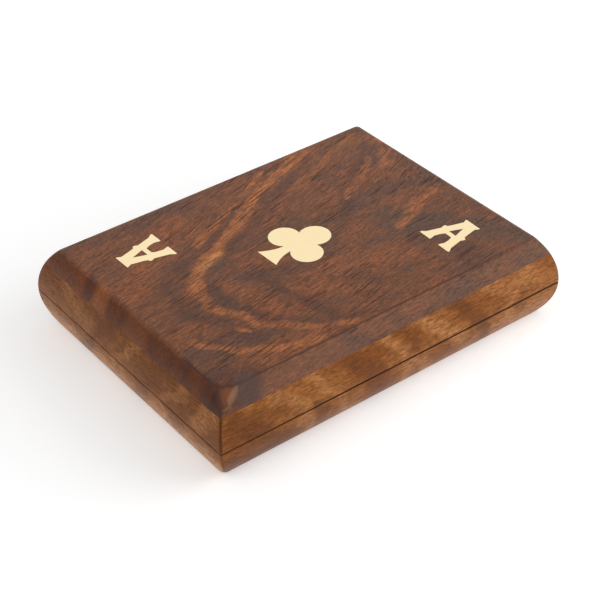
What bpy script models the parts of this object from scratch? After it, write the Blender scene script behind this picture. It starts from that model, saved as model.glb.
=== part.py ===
"""A wooden playing card box with a hinged lid, for two packs side by side.

X runs along the box, Y from front to back and Z up. The origin is on the table under the box's middle.
All sizes are in metres.
"""

import math

import bmesh
import bpy
from mathutils import Matrix, Vector
from mathutils.geometry import intersect_sphere_sphere_2d

# The box at its parting line, where it is longest and widest, and the heights of its layers
box_length = 0.1524
box_width = 0.1174
base_height = 0.0143
lid_frame_height = 0.0121
top_board_thickness = 0.0066

# How far the curved walls draw in, above and below the parting line
end_top_inset = 0.0067
side_top_inset = 0.0079
end_bottom_inset = 0.0039
side_bottom_inset = 0.0055

# Sanded corners: the upright ones where the mitres are, the top's four from the right back corner
# round to the right front one, and the rims of the top and the bottom
mitre_corner_radius = 0.0008
top_corner_radii = (0.0015, 0.0015, 0.0060, 0.0015)
corner_opening_power = 1.5
top_rim_round = 0.0010
bottom_rim_round = 0.0008

# Clearances
joint_gap = 0.0003
parting_gap = 0.0003
cutter_overrun = 0.002
weld_distance = 0.00001

# Frame rails and floor
rail_thickness = 0.010
floor_thickness = 0.003
rebate_share = 0.45

# Divider between the two packs
divider_thickness = 0.0024
divider_drop = 0.001
divider_housing = 0.0015

# Felt linings
lining_thickness = 0.001
lining_margin = 0.0005

# Brass inlays, let in flush with the top by hand: their middles from the box's ends and sides, and turns
inlay_thickness = 0.0012
index_height = 0.0186
index_width = 0.0165
left_index_insets = (0.0293, 0.0289)
right_index_insets = (0.0279, 0.0280)
left_index_turn = 91
right_index_turn = -92
club_forward = 0.0004
club_turn = 1.9
club_lobe_radius = 0.0060
club_crown_rise = 0.0081
club_side_drop = 0.0010
club_side_reach = 0.0065
club_stem_width = 0.0040
club_foot_width = 0.0108
club_foot_drop = 0.0142
club_flare = 1.85

# Half of the capital letter, from the cap down its right side: shares of the index's width and height
index_edge_shares = (
    (0.260, 1.000),
    (0.190, 0.895),
    (0.250, 0.665),
    (0.285, 0.565),
    (0.355, 0.535),
    (0.350, 0.475),
    (0.320, 0.440),
    (0.365, 0.285),
    (0.415, 0.125),
    (0.495, 0.030),
    (0.480, 0.000),
    (0.130, 0.000),
    (0.175, 0.135),
    (0.150, 0.250),
    (0.125, 0.320),
    (0.090, 0.360),
)
index_counter_shares = ((0.00, 0.74), (-0.11, 0.465), (0.11, 0.465))

# Butt hinges: two leaves, a barrel outside the back and a pin
hinge_inset = 0.0342
hinge_length = 0.025
leaf_thickness = 0.0012
leaf_setback = 0.002
leaf_corner_radius = 0.0008
barrel_radius = 0.0017
pin_radius = 0.00075
middle_knuckle_share = 0.36

# Countersunk screws, two in each leaf
screw_spread = 0.0075
screw_length = 0.007
screw_tip_length = 0.002
screw_shank_radius = 0.0009
screw_head_radius = 0.0018
screw_head_height = 0.0008

# Counts of facets
wall_steps = 8
rim_steps = 3
corner_steps = 5
barrel_sides = 24
screw_sides = 16
lobe_steps = 16
flare_steps = 5

# Heights and sizes that follow from these
half_length = box_length / 2
half_width = box_width / 2
glue_height = base_height + lid_frame_height
box_height = glue_height + top_board_thickness
base_rim = base_height - parting_gap / 2
lid_rim = base_height + parting_gap / 2
board_underside = glue_height + joint_gap / 2
cavity_half_length = half_length - rail_thickness
cavity_half_width = half_width - rail_thickness
foot_wall = rail_thickness - max(side_bottom_inset, end_bottom_inset)
rebate_depth = rebate_share * foot_wall
rebate_height = floor_thickness + joint_gap
leaf_width = rail_thickness - leaf_setback
hinge_reach = half_length - hinge_inset
hinge_axis_y = half_width + joint_gap + barrel_radius

# Looks: a name, a base colour, roughness and how metallic it is
DARK_WOOD = ("dark_wood", (0.16, 0.055, 0.028), 0.45, 0.0)
LIGHT_WOOD = ("light_wood", (0.42, 0.17, 0.055), 0.45, 0.0)
FLOOR_WOOD = ("floor_wood", (0.36, 0.19, 0.09), 0.6, 0.0)
PALE_BRASS = ("pale_brass", (0.93, 0.80, 0.52), 0.3, 1.0)
HINGE_BRASS = ("hinge_brass", (0.78, 0.56, 0.24), 0.3, 1.0)
FELT = ("felt", (0.22, 0.012, 0.018), 0.95, 0.0)


def start_scene():
    """Empties the scene and makes one collection for the parts and one for the cutters."""
    for old in list(bpy.data.objects):
        bpy.data.objects.remove(old)
    for name in ("card_box", "card_box_cutters"):
        bpy.context.scene.collection.children.link(bpy.data.collections.new(name))


def add_object(name, data, centre=(0, 0, 0)):
    """Puts a mesh or a curve among the parts."""
    made = bpy.data.objects.new(name, data)
    made.location = centre
    bpy.data.collections["card_box"].objects.link(made)
    return made


def as_cutter(shape):
    """Moves a shape to the cutters, where it only guides Boolean modifiers."""
    bpy.data.collections["card_box"].objects.unlink(shape)
    bpy.data.collections["card_box_cutters"].objects.link(shape)
    shape.hide_render = True
    shape.display_type = "WIRE"
    return shape


def boolean(piece, tool, operation):
    """Cuts, joins or trims a piece by another shape."""
    modifier = piece.modifiers.new(f"{operation.lower()}_{tool.name}", "BOOLEAN")
    modifier.operation = operation
    modifier.solver = "EXACT"
    modifier.object = tool


def finish_with(piece, look):
    """Gives a piece its own material."""
    name, colour, roughness, metallic = look
    material = bpy.data.materials.new(f"{piece.name}_{name}")
    material.use_nodes = True
    shader = material.node_tree.nodes["Principled BSDF"]
    shader.inputs["Base Color"].default_value = (*colour, 1)
    shader.inputs["Roughness"].default_value = roughness
    shader.inputs["Metallic"].default_value = metallic
    piece.data.materials.append(material)
    return piece


def mesh_from(name, shape):
    """Writes a bmesh to a mesh, smooth on its curved faces and sharp at its edges."""
    mesh = bpy.data.meshes.new(name)
    bmesh.ops.recalc_face_normals(shape, faces=shape.faces)
    shape.to_mesh(mesh)
    shape.free()
    mesh.shade_smooth()
    mesh.set_sharp_from_angle(angle=math.radians(30))
    return mesh


def block(name, low, high):
    """A box between two opposite corners."""
    low, high = Vector(low), Vector(high)
    shape = bmesh.new()
    bmesh.ops.create_cube(shape, size=1)
    bmesh.ops.scale(shape, vec=high - low, verts=shape.verts)
    return add_object(name, mesh_from(name, shape), (low + high) / 2)


def rod(name, radius, length, centre):
    """A round rod along X."""
    shape = bmesh.new()
    bmesh.ops.create_cone(
        shape, cap_ends=True, segments=barrel_sides, radius1=radius, radius2=radius, depth=length
    )
    made = add_object(name, mesh_from(name, shape), centre)
    made.rotation_euler = (0, math.radians(90), 0)
    return made


def prism(name, outlines, low, high):
    """A flat outline, and the outlines of its holes, filled and extruded between two heights."""
    curve = bpy.data.curves.new(name, "CURVE")
    curve.dimensions = "2D"
    curve.fill_mode = "BOTH"
    curve.extrude = (high - low) / 2
    for outline in outlines:
        spline = curve.splines.new("POLY")
        spline.points.add(len(outline) - 1)
        spline.use_cyclic_u = True
        for target, (x, y) in zip(spline.points, outline):
            target.co = (x, y, 0, 1)
    flat = add_object(f"{name}_outline", curve, (0, 0, (low + high) / 2))
    drawn = flat.evaluated_get(bpy.context.evaluated_depsgraph_get())
    shape = bmesh.new()
    shape.from_mesh(bpy.data.meshes.new_from_object(drawn))
    bmesh.ops.remove_doubles(shape, verts=shape.verts, dist=weld_distance)
    solid = add_object(name, mesh_from(name, shape))
    solid.matrix_world = flat.matrix_world
    bpy.data.objects.remove(flat)
    return solid


def arc(centre, radius, start, end, steps):
    """Points on a circle from one angle to another, both ends included."""
    angles = [start + (end - start) * step / steps for step in range(steps + 1)]
    return [Vector(centre) + radius * Vector((math.cos(angle), math.sin(angle))) for angle in angles]


def rounded_rectangle(half_x, half_y, radii, steps):
    """A rectangle with a radius for each corner, anticlockwise from its right back corner."""
    outline = []
    sides = ((1, 1), (-1, 1), (-1, -1), (1, -1))
    for quarter, ((side_x, side_y), radius) in enumerate(zip(sides, radii)):
        centre = (side_x * (half_x - radius), side_y * (half_y - radius))
        start = math.radians(90) * quarter
        outline += arc(centre, radius, start, start + math.radians(90), steps)
    return outline


def grown(outline, margin):
    """An anticlockwise outline moved out by a margin, with its corners mitred."""
    moved = []
    for here, point in enumerate(outline):
        arriving = (point - outline[here - 1]).normalized()
        leaving = (outline[(here + 1) % len(outline)] - point).normalized()
        outward = [Vector((way.y, -way.x)) for way in (arriving, leaving)]
        moved.append(point + (outward[0] + outward[1]) * margin / (1 + outward[0].dot(outward[1])))
    return moved


def crown_inset(height, top_inset, bottom_inset):
    """How far a wall has drawn in at a height: two arcs, both upright where lid and base part."""
    if height > base_height:
        rise, full_rise, inset = height - base_height, box_height - base_height, top_inset
    else:
        rise, full_rise, inset = base_height - height, base_height, bottom_inset
    radius = (full_rise**2 + inset**2) / (2 * inset)
    return radius - math.sqrt(radius**2 - rise**2)


def level(height):
    """The pillow's section at a height: half length, half width, how far its corners open, the height.

    The corners are crisp up to the top board, and open out over its edge as sanding leaves them.
    """
    half_x = half_length - crown_inset(height, end_top_inset, end_bottom_inset)
    half_y = half_width - crown_inset(height, side_top_inset, side_bottom_inset)
    opening = max(0, (height - glue_height) / top_board_thickness) ** corner_opening_power
    return Vector((half_x, half_y, opening, height))


def wall_levels(low, high):
    """Sections up the curved wall between two heights."""
    return [level(low + (high - low) * step / wall_steps) for step in range(wall_steps + 1)]


def rim_levels(wall_height, rim_height, reach):
    """Sections that roll the rim over, from the wall to the flat face."""
    wall, crest = level(wall_height), level(rim_height)
    flat = crest - Vector((reach, reach, 0, 0))
    shares = [step / rim_steps for step in range(1, rim_steps + 1)]
    return [wall * (1 - t) ** 2 + crest * 2 * t * (1 - t) + flat * t**2 for t in shares]


def pillow(name, levels):
    """A solid lofted up through the pillow's sections."""
    shape = bmesh.new()
    rings = []
    for half_x, half_y, opening, height in levels:
        radii = [mitre_corner_radius + (top - mitre_corner_radius) * opening for top in top_corner_radii]
        outline = rounded_rectangle(half_x, half_y, radii, corner_steps)
        rings.append([shape.verts.new((*point, height)) for point in outline])
    shape.faces.new(rings[0])
    shape.faces.new(rings[-1])
    for lower, upper in zip(rings, rings[1:]):
        for here, corner in enumerate(lower):
            after = (here + 1) % len(lower)
            shape.faces.new((corner, lower[after], upper[after], upper[here]))
    return add_object(name, mesh_from(name, shape))


def rail_wedge(layer, side, low, high):
    """A cutter with one rail's plan: mitred ends, and half of the glue gap left off each."""
    reach = rail_thickness + cutter_overrun
    shortening = joint_gap / math.sqrt(2)
    along, across = cavity_half_length, cavity_half_width
    if side in ("left", "right"):
        along, across = across, along
    outline = [
        Vector((-along - reach + shortening, -across - reach)),
        Vector((along + reach - shortening, -across - reach)),
        Vector((along - shortening, -across)),
        Vector((-along + shortening, -across)),
    ]
    turn = {"front": 0, "right": 90, "back": 180, "left": 270}[side]
    spin = Matrix.Rotation(math.radians(turn), 2)
    return as_cutter(prism(f"{layer}_{side}_wedge", [[spin @ point for point in outline]], low, high))


def frame_rails(layer, levels):
    """Four rails of one pillow layer, as if the glued frame had been sanded whole."""
    low, high = levels[0].w - cutter_overrun, levels[-1].w + cutter_overrun
    rails = {}
    for side in ("front", "back", "left", "right"):
        rail = finish_with(pillow(f"{layer}_rail_{side}", levels), LIGHT_WOOD)
        boolean(rail, rail_wedge(layer, side, low, high), "INTERSECT")
        rails[side] = rail
    return rails


def make_divider(rails):
    """The strip between the two packs, its ends housed in the front and back rails."""
    half_divider = divider_thickness / 2
    end = cavity_half_width + divider_housing
    divider = block(
        "card_divider",
        (-half_divider, joint_gap - end, floor_thickness + joint_gap),
        (half_divider, end - joint_gap, base_rim - divider_drop),
    )
    finish_with(divider, DARK_WOOD)
    half_housing = half_divider + joint_gap
    housing = block(
        "divider_housings",
        (-half_housing, -end, floor_thickness),
        (half_housing, end, base_rim + cutter_overrun),
    )
    as_cutter(housing)
    for side in ("front", "back"):
        boolean(rails[side], housing, "DIFFERENCE")


def make_base():
    """A mitred frame with a floor let in from below, the divider, and felt in both wells."""
    foot = rim_levels(bottom_rim_round, 0, bottom_rim_round)
    rails = frame_rails("base", foot[::-1] + wall_levels(bottom_rim_round, base_rim))
    rebate_x, rebate_y = cavity_half_length + rebate_depth, cavity_half_width + rebate_depth
    rebate_foot = (-rebate_x, -rebate_y, -cutter_overrun)
    rebate = as_cutter(block("floor_rebate", rebate_foot, (rebate_x, rebate_y, rebate_height)))
    for rail in rails.values():
        boolean(rail, rebate, "DIFFERENCE")
    floor_x, floor_y = rebate_x - joint_gap, rebate_y - joint_gap
    floor = block("base_floor", (-floor_x, -floor_y, 0), (floor_x, floor_y, floor_thickness))
    finish_with(floor, FLOOR_WOOD)
    make_divider(rails)

    felt_low = floor_thickness + joint_gap
    felt_high = felt_low + lining_thickness
    felt_y = cavity_half_width - lining_margin
    near_x, far_x = divider_thickness / 2 + lining_margin, cavity_half_length - lining_margin
    left = block("well_lining_left", (-far_x, -felt_y, felt_low), (-near_x, felt_y, felt_high))
    right = block("well_lining_right", (near_x, -felt_y, felt_low), (far_x, felt_y, felt_high))
    finish_with(left, FELT)
    finish_with(right, FELT)
    return rails


def placed(outlines, turn, centre):
    """Flat outlines turned and moved to their place on the top."""
    spin = Matrix.Rotation(math.radians(turn), 2)
    return [[spin @ point + Vector(centre) for point in outline] for outline in outlines]


def index_outlines(clearance):
    """The capital letter of a card index, upright about its middle, with its counter."""
    edge = [Vector((x * index_width, (y - 0.5) * index_height)) for x, y in index_edge_shares]
    counter = [Vector((x * index_width, (y - 0.5) * index_height)) for x, y in index_counter_shares]
    letter = [Vector((-point.x, point.y)) for point in edge] + edge[::-1]
    return [grown(letter, clearance), grown(counter, -clearance)]


def bearing(centre, point):
    """The angle at which a point lies from a centre."""
    return math.atan2(point.y - centre.y, point.x - centre.x)


def club_outlines(clearance):
    """A club that points along X: three lobes on a stem that flares to its foot."""
    lobe = club_lobe_radius + clearance
    stem = club_stem_width / 2 + clearance
    foot = club_foot_width / 2 + clearance
    foot_x = -club_foot_drop - clearance
    top = Vector((club_crown_rise, 0))
    side = Vector((-club_side_drop, club_side_reach))
    valley = max(intersect_sphere_sphere_2d(top, lobe, side, lobe), key=lambda point: point.y)
    notch = Vector((side.x - math.sqrt(lobe**2 - (side.y - stem) ** 2), stem))
    upper = arc(top, lobe, 0, bearing(top, valley), lobe_steps // 2)
    upper += arc(side, lobe, bearing(side, valley), 2 * math.pi + bearing(side, notch), lobe_steps)[1:]
    for step in range(1, flare_steps + 1):
        share = step / flare_steps
        flare = (foot - stem) * share**club_flare
        upper.append(Vector((notch.x + (foot_x - notch.x) * share, stem + flare)))
    lower = [Vector((point.x, -point.y)) for point in reversed(upper[1:])]
    return [upper + lower]


def make_inlays(top_board):
    """Two card indices, about half a turn apart, and a club, each in a pocket of its own outline."""
    left_end, left_side = left_index_insets
    right_end, right_side = right_index_insets
    left_middle = (left_end - half_length, half_width - left_side)
    right_middle = (half_length - right_end, right_side - half_width)
    shapes = (
        ("inlay_index_left", index_outlines, left_index_turn, left_middle),
        ("inlay_index_right", index_outlines, right_index_turn, right_middle),
        ("inlay_club", club_outlines, club_turn, (0, -club_forward)),
    )
    for name, outlines, turn, centre in shapes:
        inlay = prism(name, placed(outlines(0), turn, centre), box_height - inlay_thickness, box_height)
        finish_with(inlay, PALE_BRASS)
        pocket_floor = box_height - inlay_thickness - joint_gap
        opening = placed(outlines(joint_gap), turn, centre)
        pocket = prism(f"{name}_pocket", opening, pocket_floor, box_height + cutter_overrun)
        boolean(top_board, as_cutter(pocket), "DIFFERENCE")


def make_lid():
    """A mitred frame, a crowned top board with its inlays, and a felt lining under it."""
    rails = frame_rails("lid", wall_levels(lid_rim, glue_height - joint_gap / 2))
    wall_top = box_height - top_rim_round
    levels = wall_levels(board_underside, wall_top) + rim_levels(wall_top, box_height, top_rim_round)
    top_board = finish_with(pillow("lid_top_board", levels), DARK_WOOD)
    make_inlays(top_board)
    felt_x, felt_y = cavity_half_length - lining_margin, cavity_half_width - lining_margin
    felt_high = board_underside - joint_gap
    felt = block("lid_lining", (-felt_x, -felt_y, felt_high - lining_thickness), (felt_x, felt_y, felt_high))
    finish_with(felt, FELT)
    return rails


def screw_profile():
    """A countersunk screw's outline, run down its outer side from the head's middle to the tip."""
    return [
        (0, 0),
        (screw_head_radius, 0),
        (screw_shank_radius, -screw_head_height),
        (screw_shank_radius, screw_tip_length - screw_length),
        (0, -screw_length),
    ]


def screw_hole_profile():
    """The hole that the screw passes through and ends in, open above its head."""
    head, shank = screw_head_radius + joint_gap, screw_shank_radius + joint_gap
    return [
        (0, cutter_overrun),
        (head, cutter_overrun),
        (head, 0),
        (shank, -screw_head_height - joint_gap),
        (shank, screw_tip_length - screw_length),
        (0, -screw_length - joint_gap),
    ]


def turned(name, profile, centre, head_up):
    """A profile turned about Z, with its head up or its head down."""
    mesh = bpy.data.meshes.new(name)
    edges = [(here, here + 1) for here in range(len(profile) - 1)]
    mesh.from_pydata([(radius, 0, height) for radius, height in profile], edges, [])
    made = add_object(name, mesh, centre)
    made.rotation_euler = (0 if head_up else math.radians(180), 0, 0)
    turn = made.modifiers.new("turn", "SCREW")
    turn.steps = turn.render_steps = screw_sides
    turn.use_merge_vertices = True
    turn.merge_threshold = weld_distance
    return made


def leaf_plan(knuckles, centre_x):
    """One leaf from above: a plate with two round corners, and a strip out over each of its knuckles."""
    half = hinge_length / 2
    inner, outer = half_width - leaf_width, hinge_axis_y + barrel_radius + cutter_overrun
    corner_x, corner_y = half - leaf_corner_radius, inner + leaf_corner_radius
    plan = arc((-corner_x, corner_y), leaf_corner_radius, math.pi, 1.5 * math.pi, corner_steps)
    plan += arc((corner_x, corner_y), leaf_corner_radius, -0.5 * math.pi, 0, corner_steps)
    plan.append(Vector((half, half_width)))
    for start, end in reversed(knuckles):
        plan += [Vector((end, half_width)), Vector((end, outer))]
        plan += [Vector((start, outer)), Vector((start, half_width))]
    plan.append(Vector((-half, half_width)))
    plan = [point for here, point in enumerate(plan) if (point - plan[here - 1]).length > weld_distance]
    return [point + Vector((centre_x, 0)) for point in plan]


def leaf_section(low, high):
    """One leaf from its end, about the hinge axis: the plate running into a bored barrel."""
    plate_end = half_width - leaf_width - cutter_overrun - hinge_axis_y
    start = math.pi + math.asin(-low / barrel_radius)
    end = 3 * math.pi - math.asin(high / barrel_radius)
    barrel = arc((0, 0), barrel_radius, start, end, barrel_sides)
    bore = arc((0, 0), pin_radius + joint_gap, 0, 2 * math.pi, barrel_sides)[1:]
    return [barrel + [Vector((plate_end, high)), Vector((plate_end, low))], bore]


def make_leaf(name, knuckles, low, high, centre_x):
    """A leaf with its knuckles: one section run along the hinge, trimmed to the leaf's plan."""
    half = hinge_length / 2 + cutter_overrun
    leaf = prism(name, leaf_section(low - base_height, high - base_height), -half, half)
    leaf.location = (centre_x, hinge_axis_y, base_height)
    leaf.rotation_euler = (math.radians(90), 0, math.radians(90))
    finish_with(leaf, HINGE_BRASS)
    reach = barrel_radius + cutter_overrun
    trim = prism(f"{name}_plan", [leaf_plan(knuckles, centre_x)], base_height - reach, base_height + reach)
    boolean(leaf, as_cutter(trim), "INTERSECT")
    return leaf


def cut_mortise(rail, name, low, high, centre_x):
    """The recess in a rail's edge that the leaf lies in, open at the back."""
    half = hinge_length / 2 + joint_gap
    inner = half_width - leaf_width - joint_gap
    mortise = block(
        f"{name}_mortise", (centre_x - half, inner, low), (centre_x + half, half_width + cutter_overrun, high)
    )
    boolean(rail, as_cutter(mortise), "DIFFERENCE")


def fix_leaf(leaf, rail, face, centre_x, head_up):
    """Two countersunk screws through a leaf into its rail."""
    screws = []
    for number, screw_x in enumerate((centre_x - screw_spread, centre_x + screw_spread), start=1):
        name = leaf.name.replace("leaf", f"screw_{number}")
        centre = (screw_x, half_width - leaf_width / 2, face)
        screw = finish_with(turned(name, screw_profile(), centre, head_up), HINGE_BRASS)
        hole = as_cutter(turned(f"{name}_hole", screw_hole_profile(), centre, head_up))
        boolean(leaf, hole, "DIFFERENCE")
        boolean(rail, hole, "DIFFERENCE")
        screws.append(screw)
    return screws


def make_hinge(side, centre_x, base_rail, lid_rail):
    """A butt hinge with three knuckles, let into both back rails. Returns what turns with the lid."""
    end = hinge_length / 2
    middle = hinge_length * middle_knuckle_share / 2
    half_gap = joint_gap / 2
    outer_knuckles = [(-end, -middle - half_gap), (middle + half_gap, end)]
    middle_knuckle = [(-middle + half_gap, middle - half_gap)]

    pin = rod(f"hinge_{side}_pin", pin_radius, hinge_length, (centre_x, hinge_axis_y, base_height))
    finish_with(pin, HINGE_BRASS)

    seat = base_rim - leaf_thickness
    base_leaf = make_leaf(f"hinge_{side}_base_leaf", outer_knuckles, seat, base_rim, centre_x)
    cut_mortise(base_rail, base_leaf.name, seat - joint_gap, base_rim + cutter_overrun, centre_x)
    fix_leaf(base_leaf, base_rail, base_rim, centre_x, True)

    seat = lid_rim + leaf_thickness
    lid_leaf = make_leaf(f"hinge_{side}_lid_leaf", middle_knuckle, lid_rim, seat, centre_x)
    cut_mortise(lid_rail, lid_leaf.name, lid_rim - cutter_overrun, seat + joint_gap, centre_x)
    fix_leaf(lid_leaf, lid_rail, lid_rim, centre_x, False)


def hang_lid():
    """Parents the lid and its half of each hinge to an empty on the hinge axis."""
    axis = add_object("lid_hinge_axis", None, (0, hinge_axis_y, base_height))
    for piece in bpy.data.collections["card_box"].objects:
        turns = piece.name.startswith(("lid_", "inlay_")) or "_lid_" in piece.name
        if turns and piece != axis:
            piece.parent = axis
            piece.matrix_parent_inverse = Matrix.Translation(axis.location).inverted()


def make_card_box():
    start_scene()
    base_rails = make_base()
    lid_rails = make_lid()
    for side, centre_x in (("left", -hinge_reach), ("right", hinge_reach)):
        make_hinge(side, centre_x, base_rails["back"], lid_rails["back"])
    hang_lid()


make_card_box()
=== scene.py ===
"""Looks of a wooden playing card box with flush brass card symbols in its lid.

X runs along the box, Y from front to back and Z up. Pieces are in metres, wood patterns in millimetres.
"""

import inspect
import math

import bmesh
import bpy
from mathutils import Matrix, Vector
from mathutils.geometry import intersect_sphere_sphere_2d


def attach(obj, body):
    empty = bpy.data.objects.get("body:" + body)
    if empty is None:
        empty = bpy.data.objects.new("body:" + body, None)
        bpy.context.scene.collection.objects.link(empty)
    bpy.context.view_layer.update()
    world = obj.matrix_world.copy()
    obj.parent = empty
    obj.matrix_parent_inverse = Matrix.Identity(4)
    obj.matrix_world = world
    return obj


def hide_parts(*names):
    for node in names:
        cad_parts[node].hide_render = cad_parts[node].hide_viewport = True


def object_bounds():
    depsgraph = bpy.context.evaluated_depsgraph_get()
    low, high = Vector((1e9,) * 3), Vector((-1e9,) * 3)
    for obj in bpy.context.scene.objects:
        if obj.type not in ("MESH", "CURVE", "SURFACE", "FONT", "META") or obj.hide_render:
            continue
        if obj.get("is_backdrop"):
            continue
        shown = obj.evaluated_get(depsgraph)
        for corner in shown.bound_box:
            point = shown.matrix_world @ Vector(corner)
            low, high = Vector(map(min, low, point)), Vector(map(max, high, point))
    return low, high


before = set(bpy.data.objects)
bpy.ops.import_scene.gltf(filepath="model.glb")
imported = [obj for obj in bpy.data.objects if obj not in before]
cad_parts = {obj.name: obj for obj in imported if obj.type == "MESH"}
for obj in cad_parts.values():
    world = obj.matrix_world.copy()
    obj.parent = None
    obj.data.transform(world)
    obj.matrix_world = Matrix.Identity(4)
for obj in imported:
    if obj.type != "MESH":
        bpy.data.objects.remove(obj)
cad_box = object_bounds()

# The box, as in its frame
half_length, half_width = 0.0762, 0.0587
base_height, glue_height, box_height = 0.0143, 0.0264, 0.0330
top_insets, bottom_insets = (0.0067, 0.0079), (0.0039, 0.0055)  # of the ends and of the long sides
rail_thickness = 0.010
hollow_x, hollow_y = half_length - rail_thickness, half_width - rail_thickness
parting_gap = 0.0003
base_rim, lid_rim = base_height - parting_gap / 2, base_height + parting_gap / 2
floor_thickness, floor_rebate = 0.003, 0.002025
divider_thickness, divider_housing, divider_drop = 0.0024, 0.0015, 0.001
lining_thickness, lining_margin, lining_lift = 0.001, 0.0005, 0.0003
lining_cell, lining_wave = 0.002, 0.00003

# Sanding and joints
mitre_corner_radius, foot_corner_radius = 0.0008, 0.0026
top_corner_radii = (0.0015, 0.0015, 0.0060, 0.0015)
end_rim_round, side_rim_round = 0.0013, 0.0008
wood_ease, panel_ease, felt_ease = 0.0008, 0.0002, 0.0003
hairline, overrun = 0.00002, 0.002
touching = 0.00001

# Inlays: the capital letter's half outline runs from its cap down its right side, in shares of its size
inlay_clearance, inlay_depth, inlay_ease = 0.0001, 0.0012, 0.00004
index_height, index_width, index_tip_reach = 0.0186, 0.0165, 0.00035
index_edge_shares = (
    (0.245, 1.000), (0.185, 0.895), (0.250, 0.665), (0.285, 0.565), (0.355, 0.535), (0.350, 0.475),
    (0.320, 0.440), (0.365, 0.285), (0.415, 0.125), (0.495, 0.030), (0.480, 0.000), (0.130, 0.000),
    (0.175, 0.135), (0.150, 0.250), (0.125, 0.320), (0.090, 0.360),
)
index_counter_shares = ((0.00, 0.74), (-0.11, 0.465), (0.11, 0.465))
club_lobe, club_top, club_side = 0.0060, (0.0081, 0), (-0.0010, 0.0065)
club_stem, club_foot, club_foot_x, club_flare = 0.0020, 0.0054, -0.0142, 1.85

# Hinges and screws
hinge_centres = (-0.042, 0.042)
hinge_length, leaf_thickness, leaf_width = 0.025, 0.0012, 0.008
leaf_overlap, leaf_ease = 0.0004, 0.00015
barrel_radius, pin_radius, pin_ease = 0.0017, 0.00075, 0.0002
hinge_axis_y = half_width + 0.0003 + barrel_radius
middle_knuckle_half, knuckle_gap, knuckle_ease = 0.0045, 0.00012, 0.00012
bore_clearance, knuckle_wrap = 0.00004, math.radians(318)
screw_spread, screw_length = 0.0075, 0.007
screw_head_radius, screw_head_height, screw_shank_radius = 0.0018, 0.0008, 0.0009
screw_slot_width, screw_slot_depth = 0.00036, 0.0004
countersink_clearance, countersink_taper = 0.00003, 0.62
countersink_depth, countersink_middle = 0.0013, 0.00064


def adjusted(thing, **settings):
    """Sets a thing's settings and gives it back."""
    for name, value in settings.items():
        setattr(thing, name, value)
    return thing


def operator(operation, swapped=False):
    """An operator between values that adds one Math node."""

    def reckon(value, *others):
        ordered = (*others, value) if swapped else (value, *others)
        return value.wires.math(operation, *ordered)

    return reckon


class Value:
    """What a node puts out, with the usual operators."""

    def __init__(self, wires, socket):
        self.wires, self.socket = wires, socket

    __add__, __sub__, __mul__ = operator("ADD"), operator("SUBTRACT"), operator("MULTIPLY")
    __truediv__, __pow__, __abs__ = operator("DIVIDE"), operator("POWER"), operator("ABSOLUTE")
    __rsub__ = operator("SUBTRACT", swapped=True)


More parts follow.
